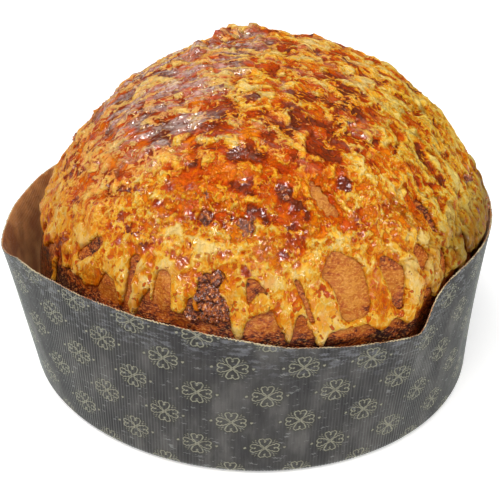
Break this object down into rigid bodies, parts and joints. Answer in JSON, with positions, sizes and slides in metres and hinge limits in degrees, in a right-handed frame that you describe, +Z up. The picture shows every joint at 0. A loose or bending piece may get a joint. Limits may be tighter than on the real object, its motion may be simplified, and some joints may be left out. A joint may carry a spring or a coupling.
{
  "type": "salted caramel panettone",
  "caption": "Low domed festive loaf under poured caramel that drips over its crust, in a flared paper baking case with a wavy rim.",
  "frame": {"origin": "middle of the case's flat underside", "axes": "+Z up through the loaf's crown, -Y towards the side shown, +X to its right"},
  "size_m": [0.2294, 0.2249, 0.1521],
  "materials": {
    "case_paper": "dark fluted baking paper with a small printed ornament, brown kraft inside",
    "crust": null,
    "caramel": null
  },
  "bodies": {
    "root": {"paper_case": "case_paper", "loaf": "crust", "caramel_glaze": "caramel"}
  },
  "joints": []
}
